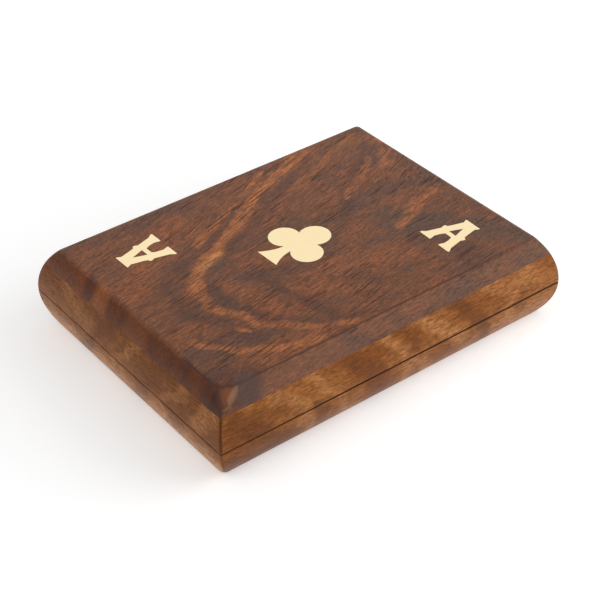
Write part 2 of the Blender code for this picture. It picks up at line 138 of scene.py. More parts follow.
class Wiring:
    """Adds nodes to a tree and joins them in the order they are written."""

    def __init__(self, tree):
        self.tree = tree

    def node(self, kind, *values, **settings):
        """Adds a node, a shader node where its kind doesn't say more."""
        kind = kind if "Node" in kind else f"ShaderNode{kind}"
        made = adjusted(self.tree.nodes.new(kind), **settings)
        for socket, value in zip(made.inputs, values):
            self.feed(socket, value)
        return made

    def feed(self, socket, value):
        source = getattr(value, "socket", value)
        if isinstance(source, bpy.types.NodeSocket):
            self.tree.links.new(source, socket)
        elif value is not None:
            socket.default_value = value

    def fill(self, node, **values):
        """Feeds a node's inputs by their names, written small."""
        sockets = {socket.name.lower().replace(" ", "_"): socket for socket in node.inputs}
        for name, value in values.items():
            self.feed(sockets[name], value)
        return node

    def math(self, operation, *values, clamp=False):
        made = self.node("Math", *values, operation=operation, use_clamp=clamp)
        return Value(self, made.outputs[0])

    def vector(self, operation, *values):
        made = self.node("VectorMath", *values, operation=operation)
        return Value(self, made.outputs["Value" if operation in ("DISTANCE", "DOT_PRODUCT") else "Vector"])

    def split(self, vector):
        return [Value(self, socket) for socket in self.node("SeparateXYZ", vector).outputs]

    def join(self, x, y, z):
        return self.node("CombineXYZ", x, y, z).outputs[0]

    def attribute(self, name):
        return Value(self, self.node("Attribute", attribute_name=name).outputs["Fac"])

    def span(self, value, low, high, to_low=0.0, to_high=1.0):
        limits = (low, high, to_low, to_high)
        made = self.node("MapRange", value, *limits, interpolation_type="SMOOTHSTEP")
        return Value(self, made.outputs[0])

    def noise(self, vector, size, detail=2.0, rough=0.5, seed=(0, 0, 0), colour=False):
        """Noise whose lumps have a size along each axis, in the vector's own unit."""
        scaled = self.vector("DIVIDE", self.vector("ADD", vector, seed), size)
        made = self.fill(self.node("TexNoise", scaled), scale=1.0, detail=detail, roughness=rough)
        return Value(self, made.outputs[1 if colour else 0])

    def swayed(self, moved, place, size, reach, detail, rough, seed):
        """Coordinates pushed about, as far as a reach, by soft noise read at a place."""
        drift = self.noise(place, size, detail, rough, seed, colour=True)
        centred = self.vector("SUBTRACT", drift, (0.5, 0.5, 0.5))
        return self.vector("ADD", moved, self.vector("MULTIPLY", centred, reach))

    def ramp(self, value, *stops):
        made = self.node("ValToRGB", value)
        elements = made.color_ramp.elements
        elements.remove(elements[1])
        elements[0].position, elements[0].color = stops[0][0], (*stops[0][1], 1)
        for place, tone in stops[1:]:
            elements.new(place).color = (*tone, 1)
        return made.outputs[0]

    def blend(self, share, under, over, how="MIX"):
        made = self.node("Mix", data_type="RGBA", blend_type=how)
        for number, value in ((0, share), (6, under), (7, over)):
            self.feed(made.inputs[number], (*value, 1) if isinstance(value, tuple) else value)
        return made.outputs[2]

    def shaded(self, colour, shade):
        """A colour made darker below a shade of 1 and lighter above it."""
        return self.blend(1.0, colour, self.join(shade, shade, shade), "MULTIPLY")

    def shade(self, colour, roughness, relief=None, depth=0.0, **values):
        """Feeds a material's shader with a colour, a roughness, a relief of some depth, and more by name."""
        if relief is not None:
            bump = self.fill(self.node("Bump"), strength=1.0, distance=depth, height=relief)
            values["normal"] = bump.outputs[0]
        shader = self.tree.nodes["Principled BSDF"]
        self.fill(shader, base_color=colour, roughness=roughness, **values)

    def stroke(self, plan, width, points):
        """A soft-edged stroke along a run of points in plan: 1 in its middle, 0 beyond its width."""
        nearest = None
        for start, end in zip(points, points[1:]):
            reach = (end[0] - start[0], end[1] - start[1], 0)
            away = self.use(line_distance, plan, (*start, 0), reach)
            nearest = away if nearest is None else self.math("MINIMUM", nearest, away)
        return self.span(nearest, width * 0.2, width, 1.0, 0.0)

    def use(self, group, *values):
        """Places a shared effect, fed in the order of its arguments, and returns what it puts out."""
        made = self.node("Group", *values, node_tree=group)
        results = [Value(self, socket) for socket in made.outputs]
        return results if len(results) > 1 else results[0]


socket_kinds = {
    "geometry": "NodeSocketGeometry",
    "material": "NodeSocketMaterial",
    **dict.fromkeys(("vector", "start", "reach", "inset", "hollow"), "NodeSocketVector"),
}


def node_group(kind, *outputs):
    """Makes a node group of a function, whose arguments are its inputs and whose results its outputs."""

    def build(rule):
        tree = bpy.data.node_groups.new(rule.__name__, kind)
        inputs = list(inspect.signature(rule).parameters)[1:]
        for way, names in (("INPUT", inputs), ("OUTPUT", outputs)):
            for name in names:
                socket_type = socket_kinds.get(name, "NodeSocketFloat")
                tree.interface.new_socket(name, in_out=way, socket_type=socket_type)
        wires = Wiring(tree)
        start, end = wires.node("NodeGroupInput"), wires.node("NodeGroupOutput")
        results = rule(wires, *[Value(wires, start.outputs[name]) for name in inputs])
        for socket, result in zip(end.inputs, results if isinstance(results, tuple) else (results,)):
            wires.feed(socket, result)
        return tree

    return build


@node_group("ShaderNodeTree", "vector")
def fibre_run(wires, vector, lean, wander):
    """Coordinates that follow the fibres: X along them, with a lean and a slow wander across."""
    x, y, z = wires.split(vector)
    leaned = y - wires.span(y, -15.0, 35.0, 0.55) * lean * x
    reach = wires.join(0.0, wander, wander)
    return wires.swayed(wires.join(x, leaned, z), vector, (45, 24, 24), reach, 1.0, 0.5, (7, 3, 1))


@node_group("ShaderNodeTree", "distance")
def line_distance(wires, vector, start, reach):
    """How far a point lies from a straight line of a given reach."""
    offset = wires.vector("SUBTRACT", vector, start)
    along, whole = wires.vector("DOT_PRODUCT", offset, reach), wires.vector("DOT_PRODUCT", reach, reach)
    share = wires.math("DIVIDE", along, whole, clamp=True)
    nearest = wires.vector("MULTIPLY", reach, wires.join(share, share, share))
    return wires.vector("DISTANCE", offset, nearest)


@node_group("ShaderNodeTree", "mask")
def pore_strokes(wires, vector, length, width, cover, seed):
    """Open pores cut along their length: short dark strokes, and dots where the wood is cut across."""
    moved = wires.vector("ADD", vector, wires.join(seed, seed, seed))
    scaled = wires.vector("DIVIDE", moved, wires.join(length, width, width))
    cells = wires.fill(wires.node("TexVoronoi", scaled), scale=1.0)
    chance = wires.split(cells.outputs["Color"])[1]
    thin = wires.span(cells.outputs["Distance"], 0.22, 0.46, 1.0, 0.0)
    return thin * wires.math("LESS_THAN", chance, cover)


@node_group("ShaderNodeTree", "roughness")
def hand_polish(wires, vector, smooth, drift, pores):
    """Hand-rubbed polish: roughness that drifts over the piece and rises in the open pores."""
    cloud = wires.noise(vector, (14, 10, 10), 3.0, 0.6, (31, 4, 9))
    return wires.math("ADD", smooth + (cloud - 0.5) * (drift * 2.0), pores * 0.3, clamp=True)


@node_group("ShaderNodeTree", "roughness", "height", "tarnish")
def brass_brushing(wires, vector, base, amount):
    """Fine scratches along one direction, from rubbing brass down level with the wood."""
    fine = wires.noise(vector, (9, 0.12, 0.12), 3.0, 0.7)
    cloud = wires.noise(vector, (3.5, 2.5, 2.5), 3.0, 0.55, (5, 5, 5))
    both = (fine - 0.5) + (cloud - 0.5)
    return wires.math("ADD", base, both * amount, clamp=True), fine, wires.span(cloud, 0.5, 0.75)


def start_material(name, turn=0.0):
    """A material, the wiring of its tree, and its object coordinates in millimetres, turned about Z."""
    material = adjusted(bpy.data.materials.new(name), use_nodes=True)
    wires = Wiring(material.node_tree)
    mapping = wires.node("Mapping", wires.node("TexCoord").outputs["Object"])
    wires.fill(mapping, scale=(1000, 1000, 1000), rotation=(0, 0, math.radians(turn)))
    return material, wires, mapping.outputs[0]


def grown_streaks(wires, colour, plan, grain, streaks):
    """Lays broad growth streaks over a wood's colour, broken up by its grain."""
    for tone, width, strength, *points in streaks:
        share = wires.stroke(plan, width, points) * grain
        colour = wires.blend(wires.math("MULTIPLY", share, strength, clamp=True), colour, tone)
    return colour


amber, orange, rust = (0.50, 0.205, 0.060), (0.37, 0.116, 0.029), (0.23, 0.068, 0.018)
plum, dusk, ink = (0.068, 0.022, 0.010), (0.098, 0.038, 0.019), (0.020, 0.008, 0.007)
cream, ash, dun = (0.34, 0.21, 0.12), (0.074, 0.046, 0.040), (0.084, 0.041, 0.023)
# The greyish tone below is painted sheen for the board's front strip.
smoke = (0.160, 0.102, 0.078)

# The board's figure from above: its growth streaks, with their widths and strengths, in millimetres
board_streaks = (
    (dun, 12, 0.90, (70, -46), (48, -22), (36, -8)),
    (plum, 9, 0.80, (-68, -47), (-58, -50)),
    (dusk, 7, 0.15, (-14, 8), (4, 17), (27, 26)),
    (rust, 9, 0.22, (-2, 30), (18, 40), (52, 48)),
    (rust, 11, 0.85, (-64, 14), (-28, 37)),
    (rust, 7, 0.70, (-34, -5), (-30, -25)),
    (rust, 5, 0.60, (-16, -21), (-5, -33)),
    (rust, 8, 0.45, (2, -20), (28, -24)),
    (plum, 4.5, 0.60, (-42, 1), (-41.5, -14), (-32, -35), (-12, -48)),
    (plum, 5.0, 0.60, (-52, 6), (-56, -8), (-42, -38)),
    (plum, 4.0, 0.60, (-24, -6), (-20, -24), (-16, -42)),
    (plum, 3.5, 0.55, (-20, 12), (27, 37)),
    (plum, 4.5, 0.62, (24, 2), (38, 18), (60, 33)),
    (plum, 3.0, 0.50, (-44, 12), (-24, 20), (8, 40)),
    (orange, 3.6, 0.85, (38, 48), (5, 34), (-20, 18), (-38, 8), (-46, -2)),
    (orange, 3.0, 0.50, (-46, -2), (-46, -12), (-39, -29), (-26, -43), (-12, -50)),
    (orange, 2.6, 0.60, (-63, -24), (-54, -38), (-45, -43), (-28, -50)),
    (orange, 2.4, 0.60, (-30, 22), (18, 46)),
    (amber, 2.8, 0.62, (-26, 12), (-39, 7)),
    (orange, 3.6, 0.62, (37, -14.5), (61, -4)),
    (orange, 5.5, 0.47, (61, 20), (69, 38)),
    (orange, 3.0, 0.36, (22, 29), (62, 46)),
    (orange, 2.4, 0.55, (34, 13), (57, 28)),
    (orange, 1.6, 0.70, (-46, -28.5), (-44, -30.5)),
    (orange, 3.0, 0.80, (-71, 21), (-73, 15)),
    (plum, 2.5, 0.70, (-70, 29), (-71, 25)),
    (rust, 3.5, 0.60, (-70, 34), (-71, 31)),
)

# The board's front strip and left strip: what shows on them, most of it where they meet at the near corner
strip_streaks = (
    (ash, 7.5, 0.62, (-59.5, -52), (-58.5, -56)),
    # Painted sheen: a greyish tone over the whole front strip stands in for the reflection that greys it.
    (smoke, 5.0, 0.26, (-52, -54), (75, -54)),
    (rust, 2.6, 0.62, (-68, -51.2), (-66.4, -52.2)),
    (cream, 1.5, 0.34, (-64.0, -52.1), (-65.2, -52.7), (-66.6, -53.4)),
    # Painted shade: the next two dark strokes run down the hip where the front and left strips meet,
    # standing in for its shading.
    (plum, 3.2, 0.50, (-70, -46), (-70.2, -50)),
    (ink, 1.5, 0.50, (-70.1, -49.2), (-70.2, -52), (-70.3, -56.5)),
    (dun, 4.0, 0.22, (-70, 47), (-70.4, 37)),
    (plum, 3.0, 0.35, (-70, 28), (-70.6, 25)),
    (orange, 3.5, 0.32, (-70, 22), (-70.6, 17)),
    (ink, 2.6, 0.28, (-69.6, 13.5), (-70.8, 4)),
    (orange, 3.0, 0.14, (-70, 2), (-70.6, -8)),
    (ink, 2.4, 0.28, (-69.4, -13), (-70.8, -25)),
    (ink, 2.0, 0.22, (-70, -33), (-70.8, -38)),
)


def board_plan(wires, place):
    """A place on the board seen from above, with its end walls laid half flat along X."""
    x, y, z = wires.split(place)
    return wires.join(wires.math("MULTIPLY_ADD", box_height * 1000 - z, 0.5, x), y, 0.0)


def heartwood(name, turn=0.0):
    """Dark rosewood heartwood: nested growth streaks, dark gum lines and short open pores."""
    material, wires, place = start_material(name, turn)
    run = wires.use(fibre_run, place, 0.34, 5.0)
    plan = board_plan(wires, wires.swayed(place, place, (13, 9, 9), (8, 8, 0), 3.0, 0.6, (11, 0, 5)))
    clouds = wires.noise(place, (26, 13, 13), 3.0, 0.6, (2, 40, 8))
    colour = wires.ramp(clouds, (0.36, dusk), (0.47, (0.140, 0.046, 0.015)), (0.60, (0.185, 0.056, 0.017)))
    streaks = wires.noise(run, (6, 1.1, 1.1), 3.0, 0.62)
    grain = wires.span(streaks, 0.34, 0.60, 0.50, 1.20)
    colour = grown_streaks(wires, colour, plan, grain, board_streaks)
    hair = wires.noise(run, (1.7, 0.62, 0.62), 3.0, 0.75, (9, 1, 2))
    shade = wires.span(streaks, 0.30, 0.70, 0.78, 1.26) * wires.span(hair, 0.3, 0.7, 0.64, 1.52)
    colour = wires.shaded(colour, shade)
    flecks = wires.use(pore_strokes, run, 6.0, 0.75, 0.32, 40.0)
    colour = wires.blend(flecks * wires.span(clouds, 0.40, 0.60, 0.10, 0.50), colour, orange)
    gums = wires.use(pore_strokes, run, 24.0, 0.85, 0.42, 4.0)
    pores = wires.use(pore_strokes, run, 6.0, 0.42, 0.38, 17.0)
    patchy = wires.span(wires.noise(place, (18, 12, 12), seed=(60, 2, 2)), 0.36, 0.58, 0.25, 1.0)
    dark = wires.math("MAXIMUM", gums, pores) * patchy
    colour = wires.blend(dark * 0.80, colour, (0.036, 0.010, 0.005))
    x, y, z = wires.split(place)
    # Painted shade: a dark line just below the front top rim of the board, fading towards the right end,
    # stands in for the darker reflection there.
    arris = wires.span(abs(z - 32.66), 0.06, 0.28, 0.85, 0.0) * wires.span(x, 25.0, 75.0, 1.0, 0.3)
    arris *= wires.math("LESS_THAN", y, -30.0)
    colour = wires.blend(arris, colour, (0.040, 0.012, 0.005))
    colour = wires.blend(wires.attribute("end_grain") * 0.45, colour, (0.120, 0.024, 0.005))
    colour = grown_streaks(wires, colour, board_plan(wires, place), 1.0, strip_streaks)
    polish = wires.use(hand_polish, place, 0.36, 0.12, dark)
    wires.shade(colour, polish, hair * 0.25 - dark, 0.00003, specular_ior_level=0.27)
    return material


straw, gold = (0.58, 0.265, 0.095), (0.46, 0.194, 0.065)
honey, umber = (0.33, 0.120, 0.030), (0.150, 0.046, 0.011)

# The frames' figure from outside: golden and brown patches by distance along a rail and by height
long_rail_streaks = (
    (umber, 6.0, 0.65, (-69, 24), (-56, 12), (-50, 6)),
    (umber, 9.0, 0.72, (-70, 5), (-44, 4)),
    (umber, 8.0, 0.45, (-70, 20), (-52, 20)),
    (gold, 8.0, 0.55, (36, 5), (70, 6)),
    (umber, 6.5, 0.75, (-22, 28), (-12, 14), (-7, 2)),
    (umber, 5.5, 0.80, (28, 27), (37, 14), (41, 3)),
    (umber, 3.0, 0.55, (3, 27), (10, 14), (12, 4)),
    (umber, 3.0, 0.60, (-36, 14), (-31, 4)),
    (gold, 4.5, 0.55, (-52, 27), (-42, 14), (-37, 3)),
    (gold, 3.6, 0.50, (-37, 27), (-27, 14), (-21, 3)),
    (gold, 3.8, 0.62, (-5, 27), (3, 14), (6, 2)),
    (gold, 4.6, 0.75, (12, 27), (25, 15), (28, 10)),
    (gold, 4.0, 0.70, (8, 13), (17, 3)),
    (gold, 6.0, 0.45, (44, 27), (54, 20), (64, 24)),
    (gold, 5.0, 0.50, (50, 14), (58, 5)),
)
end_rail_streaks = (
    (umber, 9.0, 0.70, (-125, 28), (125, 28)),
    (umber, 7.0, 0.42, (-125, 19), (125, 19)),
    (straw, 9.0, 0.86, (-125, 4), (125, 4)),
    (umber, 5.0, 0.60, (-8, 27), (-20, 16), (-30, 4)),
    (umber, 6.0, 0.50, (24, 27), (12, 14), (6, 3)),
    (umber, 4.0, 0.45, (42, 22), (30, 8)),
    (gold, 6.5, 0.34, (-38, 24), (-24, 18)),
    (gold, 3.2, 0.42, (8, 26), (-5, 14), (-12, 3)),
    (gold, 3.0, 0.34, (36, 26), (22, 12), (16, 3)),
    (gold, 6.0, 0.55, (52, 26), (44, 18)),
)


def pale_wood(name, streaks, face, line_strength, turn=0.0):
    """The frames' lighter wood: golden brown, with leaning patches and a fine wormy grain."""
    material, wires, place = start_material(name, turn)
    run = wires.use(fibre_run, place, 0.0, 5.0)
    x, y, z = wires.split(wires.swayed(place, place, (9, 9, 9), (11, 0, 11), 2.5, 0.55, (3, 9, 1)))
    plan = wires.join(x + (y - face) * 0.4, z, 0.0)
    clouds = wires.noise(place, (24, 10, 10), 3.0, 0.55, (0, 13, 4))
    colour = wires.ramp(clouds, (0.36, (0.23, 0.073, 0.014)), (0.62, honey))
    worms = wires.noise(run, (2.2, 0.70, 0.70), 2.0, 0.6, (8, 8, 1))
    colour = grown_streaks(wires, colour, plan, wires.span(worms, 0.30, 0.65, 0.72, 1.10), streaks)
    hair = wires.noise(run, (7, 0.4, 0.4), 2.0, 0.6)
    shade = wires.span(worms, 0.3, 0.7, 0.74, 1.22) * wires.span(hair, 0.3, 0.7, 0.78, 1.18)
    colour = wires.shaded(colour, shade)
    pores = wires.use(pore_strokes, run, 2.4, 0.42, 0.26, 23.0)
    colour = wires.blend(pores * 0.55, colour, (0.085, 0.024, 0.006))
    x, y, height = wires.split(place)
    seam = wires.span(wires.attribute("from_mitre"), 0.08, 0.75, 1.0, 0.0)
    seam *= wires.span(height, 13.5, 15.5, 0.10, 0.55)
    # Painted shadow: a dark line along the outer edge of the parting, weaker towards one end of each rail,
    # stands in for the shade in the gap between lid and base. The seam above is the mitre joints' own dark
    # glue line.
    line = wires.span(abs(height - base_height * 1000), 0.26, 0.58, line_strength, 0.0)
    line *= wires.span(abs(y), -face - 0.7, -face - 0.25)
    line *= wires.span(x, -75.0, -25.0, 0.35, 1.0)
    colour = wires.blend(wires.math("MAXIMUM", seam, line), colour, (0.045, 0.011, 0.003))
    polish = wires.use(hand_polish, place, 0.38, 0.1, pores)
    wires.shade(colour, polish, worms * 0.3 - pores, 0.00002, specular_ior_level=0.12)
    return material


def floor_wood():
    """The floor panel: plain wood, only sanded."""
    material, wires, place = start_material("sanded_floor_wood")
    run = wires.use(fibre_run, place, 0.0, 4.0)
    bands = wires.noise(run, (90, 6, 6), 4.0, 0.6)
    tones = (0.35, (0.20, 0.095, 0.042)), (0.52, (0.33, 0.175, 0.085)), (0.7, (0.40, 0.23, 0.12))
    pores = wires.use(pore_strokes, run, 3.0, 0.3, 0.35, 5.0)
    colour = wires.blend(pores * 0.4, wires.ramp(bands, *tones), (0.10, 0.045, 0.02))
    wires.shade(colour, wires.span(bands, 0.3, 0.7, 0.55, 0.75), 0.0 - pores, 0.00003)
    return material


def brass(name, tone, shadow, base, amount, depth):
    """Rubbed brass: a warm metal with fine scratches and a little darkening."""
    material, wires, place = start_material(name)
    roughness, scratches, tarnish = wires.use(brass_brushing, place, base, amount)
    colour = wires.blend(tarnish * 0.25, tone, shadow)
    wires.shade(colour, roughness, scratches, depth, metallic=1.0)
    return material


def felt():
    """Short-napped wool felt: a soft mat of fine fibres."""
    material, wires, place = start_material("red_felt")
    mat = wires.noise(place, (0.5, 0.5, 0.5), 4.0, 0.7)
    worn = wires.noise(place, (16, 16, 16), seed=(4, 4, 4))
    tones = (0.3, (0.12, 0.006, 0.010)), (0.5, (0.22, 0.012, 0.018)), (0.7, (0.32, 0.03, 0.035))
    colour = wires.blend(wires.span(worn, 0.45, 0.7, 0.0, 0.25), wires.ramp(mat, *tones), (0.30, 0.03, 0.04))
    roughness = wires.span(mat, 0.2, 0.8, 0.88, 1.0)
    sheen = {"sheen_weight": 0.35, "sheen_roughness": 0.5, "specular_ior_level": 0.2}
    wires.shade(colour, roughness, mat, 0.00012, **sheen)
    return material


MATERIALS = {
    "board": heartwood("lid_heartwood"),
    "divider": heartwood("divider_heartwood", 90),
    "long_rail": pale_wood("long_rail_wood", long_rail_streaks, -58.7, 0.88),
    "end_rail": pale_wood("end_rail_wood", end_rail_streaks, -76.2, 0.30, 90),
    "floor": floor_wood(),
    "inlay": brass("pale_inlay_brass", (0.985, 0.800, 0.485), (0.93, 0.73, 0.42), 0.27, 0.05, 0.0000015),
    "hinge": brass("hinge_brass", (0.80, 0.56, 0.22), (0.50, 0.30, 0.10), 0.30, 0.16, 0.000004),
    "felt": felt(),
}


def crown_inset(height, top_inset, bottom_inset):
    """How far a wall has drawn in at a height: two arcs, both upright where lid and base part."""
    if height > base_height:
        rise, full_rise, inset = height - base_height, box_height - base_height, top_inset
    else:
        rise, full_rise, inset = base_height - height, base_height, bottom_inset
    radius = (full_rise**2 + inset**2) / (2 * inset)
    return radius - math.sqrt(radius**2 - rise**2)


def wall_reach(height):
    """Half length and half width of the box at a height."""
    insets = [crown_inset(height, top, bottom) for top, bottom in zip(top_insets, bottom_insets)]
    return half_length - insets[0], half_width - insets[1]


def add_object(name, data):
    made = bpy.data.objects.new(name, data)
    bpy.context.scene.collection.objects.link(made)
    return made


def settled(piece):
    """Turns a piece and its modifiers into one plain mesh."""
    graph = bpy.context.evaluated_depsgraph_get()
    drawn = piece.evaluated_get(graph)
    mesh = bpy.data.meshes.new_from_object(drawn, preserve_all_data_layers=True, depsgraph=graph)
    piece.modifiers.clear()
    piece.data = mesh
    return piece


def smooth_by_angle(piece):
    piece.data.shade_smooth()
    piece.data.set_sharp_from_angle(angle=math.radians(32))


def flatly_lit(piece):
    """Smooths a piece between its sharp edges and keeps its flat faces flat in the light."""
    smooth_by_angle(piece)
    adjusted(piece.modifiers.new("flat_light", "WEIGHTED_NORMAL"), keep_sharp=True)
    return settled(piece)


def eased(piece, width, weight_of_edge=lambda middle: 1, segments=3):
    """Eases a piece's sharp edges."""
    shape = bmesh.new()
    shape.from_mesh(piece.data)
    layer = shape.edges.layers.float.new("bevel_weight_edge")
    for edge in shape.edges:
        if len(edge.link_faces) == 2 and edge.calc_face_angle(0) > math.radians(30):
            edge[layer] = weight_of_edge((edge.verts[0].co + edge.verts[1].co) / 2)
    shape.to_mesh(piece.data)
    shape.free()
    bevel = piece.modifiers.new("ease", "BEVEL")
    adjusted(bevel, limit_method="WEIGHT", width=width, segments=segments, use_clamp_overlap=True)
    return flatly_lit(settled(piece))


def piece_of(name, shape):
    """A piece from a shape, with its faces turned outward."""
    mesh = bpy.data.meshes.new(name)
    bmesh.ops.recalc_face_normals(shape, faces=shape.faces)
    shape.to_mesh(mesh)
    shape.free()
    return add_object(name, mesh)


def block(name, low, high):
    """A box between two opposite corners."""
    low, high = Vector(low), Vector(high)
    shape = bmesh.new()
    bmesh.ops.create_cube(shape, size=1)
    bmesh.ops.scale(shape, vec=high - low, verts=shape.verts)
    bmesh.ops.translate(shape, vec=(low + high) / 2, verts=shape.verts)
    return piece_of(name, shape)


def cone(name, radii, depth, segments, place):
    """A cone or rod along Z, from its lower to its upper radius, brought to its place."""
    shape = bmesh.new()
    bmesh.ops.create_cone(
        shape, cap_ends=True, segments=segments, radius1=radii[0], radius2=radii[1], depth=depth
    )
    bmesh.ops.transform(shape, matrix=place, verts=shape.verts)
    return piece_of(name, shape)


def prism(name, outlines, low, high):
    """A flat outline, and the outlines of its holes, filled and extruded between two heights."""
    curve = bpy.data.curves.new(name, "CURVE")
    adjusted(curve, dimensions="2D", fill_mode="BOTH", extrude=(high - low) / 2)
    for outline in outlines:
        spline = curve.splines.new("POLY")
        spline.points.add(len(outline) - 1)
        spline.use_cyclic_u = True
        for target, (x, y) in zip(spline.points, outline):
            target.co = (x, y, 0, 1)
    flat = add_object(f"{name}_outline", curve)
    drawn = flat.evaluated_get(bpy.context.evaluated_depsgraph_get())
    shape = bmesh.new()
    shape.from_mesh(bpy.data.meshes.new_from_object(drawn))
    bpy.data.objects.remove(flat)
    bmesh.ops.remove_doubles(shape, verts=shape.verts, dist=touching)
    bmesh.ops.translate(shape, vec=(0, 0, (low + high) / 2), verts=shape.verts)
    return piece_of(name, shape)


def cut(piece, *tools):
    """Cuts shapes out of a piece, closes any slit the cut leaves, and removes the shapes."""
    for tool in tools:
        cutting = piece.modifiers.new("cut", "BOOLEAN")
        adjusted(cutting, operation="DIFFERENCE", solver="EXACT", object=tool)
    bpy.context.view_layer.update()
    settled(piece)
    shape = bmesh.new()
    shape.from_mesh(piece.data)
    bmesh.ops.holes_fill(shape, edges=[edge for edge in shape.edges if edge.is_boundary], sides=0)
    shape.to_mesh(piece.data)
    shape.free()
    for tool in tools:
        bpy.data.objects.remove(tool)
    return piece


def wall_rings(shape, rings):
    """Joins rings of corners, each to the next, by walls."""
    for lower, upper in zip(rings, rings[1:]):
        for here, corner in enumerate(lower):
            after = (here + 1) % len(lower)
            shape.faces.new((corner, lower[after], upper[after], upper[here]))


def store(piece, name, rule):
    """Stores a value at each point of a piece."""
    marks = piece.data.attributes.new(name, "FLOAT", "POINT")
    for vertex, mark in zip(piece.data.vertices, marks.data):
        mark.value = rule(vertex.co)


def finished(piece, material, body, slot, *nodes):
    """Gives a piece its material and body, and puts it in place of CAD nodes. Its slot is not used."""
    piece.data.materials.clear()
    piece.data.materials.append(MATERIALS[material])
    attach(piece, body)
    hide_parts(*nodes)


def run_tree(name, tree, points=(), **values):
    """Runs a geometry tree on some points and keeps the result as a plain piece."""
    mesh = bpy.data.meshes.new(name)
    mesh.from_pydata(points, [], [])
    piece = add_object(name, mesh)
    modifier = adjusted(piece.modifiers.new("shape", "NODES"), node_group=tree)
    sockets = {item.name: item.identifier for item in tree.interface.items_tree if item.in_out == "INPUT"}
    for label, value in values.items():
        modifier[sockets[label]] = value
    bpy.context.view_layer.update()
    return settled(piece)


@node_group("GeometryNodeTree", "geometry")
def sanded_rail(
    wires, geometry, reach, inset, hollow, rise, parting, low, high, corner, gap, turn, material
):
    """A rail of the sanded frame: a block bent to the curved wall, its mitres meeting at the hips.

    Reach, inset and hollow are vectors: the first number is along the rail and the second across it.
    """
    grid = wires.node("GeometryNodeMeshCube", (1, 1, 1), 57, 3, 13)
    x, y, z = wires.split(wires.node("GeometryNodeInputPosition").outputs[0])
    along, outward = wires.math("SINE", x * math.pi), 0.5 - y
    height = (z + 0.5) * (high - low) + low
    walls = []
    for whole, drawn_in in zip(wires.split(reach)[:2], wires.split(inset)):
        radius = (rise**2.0 + drawn_in**2.0) / (drawn_in * 2.0)
        walls.append(whole - (radius - wires.math("SQRT", radius**2.0 - abs(height - parting) ** 2.0)))
    hip = corner * (math.sqrt(0.5) - 1) + walls[0]
    over = wires.math("MAXIMUM", abs(along) * hip - (walls[0] - corner), 0.0)
    wall_y = walls[1] - (corner - wires.math("SQRT", corner**2.0 - over**2.0))
    inner_x, inner_y, _ = wires.split(hollow)
    place_x = along * (outward * (hip - inner_x) + inner_x - gap)
    place_y = (outward * (wall_y - inner_y) + inner_y) * -1.0
    bent = wires.join(place_x, place_y, height)
    turned = wires.fill(wires.node("VectorRotate", bent, rotation_type="Z_AXIS"), angle=turn)
    placed = wires.fill(
        wires.node("GeometryNodeSetPosition", grid.outputs["Mesh"]), position=turned.outputs[0]
    )
    real = wires.node("GeometryNodeRealizeInstances", placed.outputs[0])
    return wires.fill(wires.node("GeometryNodeSetMaterial", real.outputs[0]), material=material).outputs[0]


def soften_feet(piece):
    """Rounds the base's outer corners more and more towards the table."""
    for vertex in piece.data.vertices:
        x, y, height = vertex.co
        share = max(0, 1 - height / base_height)
        radius = mitre_corner_radius + (foot_corner_radius - mitre_corner_radius) * share**2
        centre = Vector(wall_reach(height)) - Vector((radius, radius))
        offset = Vector((abs(x), abs(y))) - centre
        if min(offset) > 0 and offset.length > radius:
            moved = centre + offset.normalized() * radius
            vertex.co.x, vertex.co.y = math.copysign(moved.x, x), math.copysign(moved.y, y)


def rail_edge_weight(middle):
    """How much a rail's edge is eased: all of it at the foot, some at the rims, least at the joints."""
    reach_x, reach_y = wall_reach(middle.z)
    outer = max(abs(middle.x) - reach_x, abs(middle.y) - reach_y) > -0.0012
    inner = abs(middle.x) < hollow_x + 0.0001 and abs(middle.y) < hollow_y + 0.0001
    if min(abs(middle.z - base_rim), abs(middle.z - lid_rim)) < touching and (outer or inner):
        return 0.35
    return 1 if middle.z < touching and outer else 0.05


def rail_tools(layer, side):
    """What is cut out of a rail: the floor's rebate, the divider's housing and the hinges' mortises."""
    tools = []
    if layer == "base":
        x, y = hollow_x + floor_rebate, hollow_y + floor_rebate
        tools.append(block("rebate", (-x, -y, -overrun), (x, y, floor_thickness + hairline)))
        low, high = base_rim - leaf_thickness, base_rim + overrun
    else:
        low, high = lid_rim - overrun, lid_rim + leaf_thickness
    if layer == "base" and side in ("front", "back"):
        half, end = divider_thickness / 2 + hairline, hollow_y + divider_housing
        tools.append(block("housing", (-half, -end, floor_thickness), (half, end, base_rim + overrun)))
    if side == "back":
        half, inner = hinge_length / 2 + inlay_clearance, half_width - leaf_width - inlay_clearance
        for x in hinge_centres:
            tools.append(block("mortise", (x - half, inner, low), (x + half, half_width + overrun, high)))
    return tools


def make_rails(layer, low, high, insets):
    """Four mitred rails of the base or the lid."""
    corner = mitre_corner_radius * (1 - math.sqrt(0.5))
    for quarter, side in enumerate(("front", "right", "back", "left")):
        kind, along = (("long_rail", 0), ("end_rail", 1))[quarter % 2]
        reach, inset, hollow = (
            (pair[along], pair[1 - along], 0.0)
            for pair in ((half_length, half_width), insets, (hollow_x, hollow_y))
        )
        rail = run_tree(
            f"{layer}_{side}_rail", sanded_rail, reach=reach, inset=inset, hollow=hollow,
            rise=base_height if layer == "base" else box_height - base_height, parting=base_height,
            low=low, high=high, corner=mitre_corner_radius, gap=hairline, turn=math.radians(90 * quarter),
            material=MATERIALS[kind],
        )
        tools = rail_tools(layer, side)
        if tools:
            cut(rail, *tools)
        if layer == "base":
            soften_feet(rail)
        eased(rail, wood_ease, rail_edge_weight)
        store(rail, "from_mitre", lambda at: (wall_reach(at.z)[along] - corner - abs(at[along])) * 1000)
        finished(rail, kind, layer, "light_wood", f"{layer}_rail_{side}")


